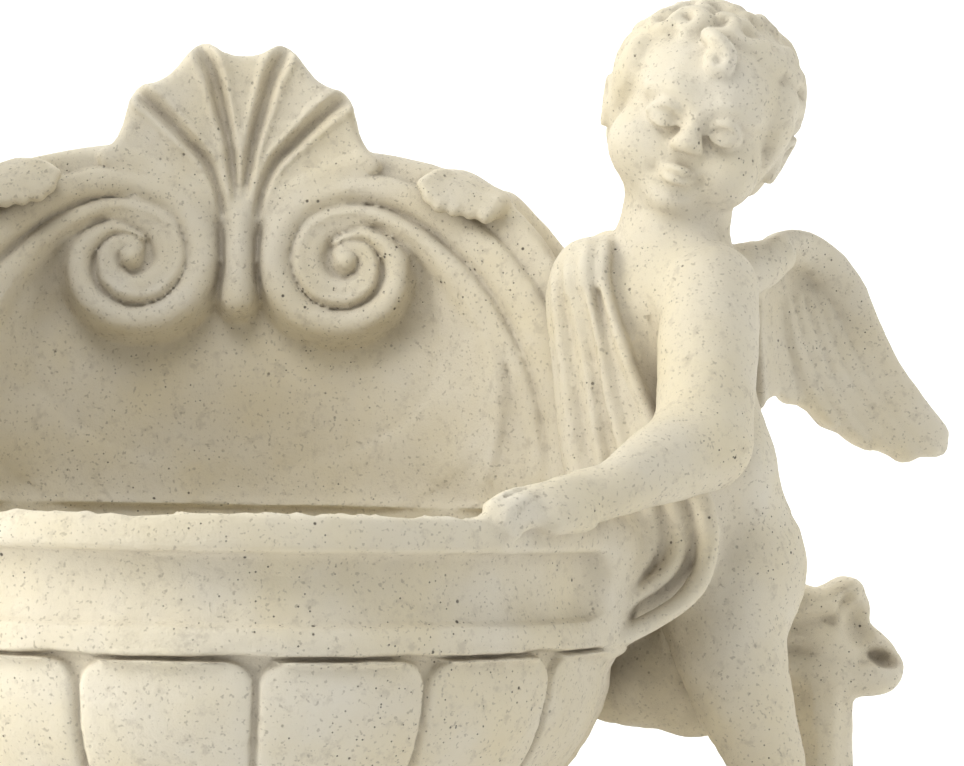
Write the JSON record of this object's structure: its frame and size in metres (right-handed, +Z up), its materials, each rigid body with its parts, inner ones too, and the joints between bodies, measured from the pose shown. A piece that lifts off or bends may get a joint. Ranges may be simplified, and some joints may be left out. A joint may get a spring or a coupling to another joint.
{
  "type": "cherub garden planter statue",
  "caption": "Cast stone garden planter: a fluted basin before a scroll and shell back, held by a pair of winged cherubs on a low base.",
  "frame": {"origin": "centre of the plinth's underside", "axes": "+Z up, -Y the front with the basin's rounded side, +X to the viewer's right; the group mirrors across X = 0"},
  "size_m": [0.7523, 0.3542, 0.5283],
  "materials": {
    "cast_stone": "matte cream cast stone with fine pinholes"
  },
  "bodies": {
    "root": {"cherub_planter": "cast_stone"}
  },
  "joints": []
}
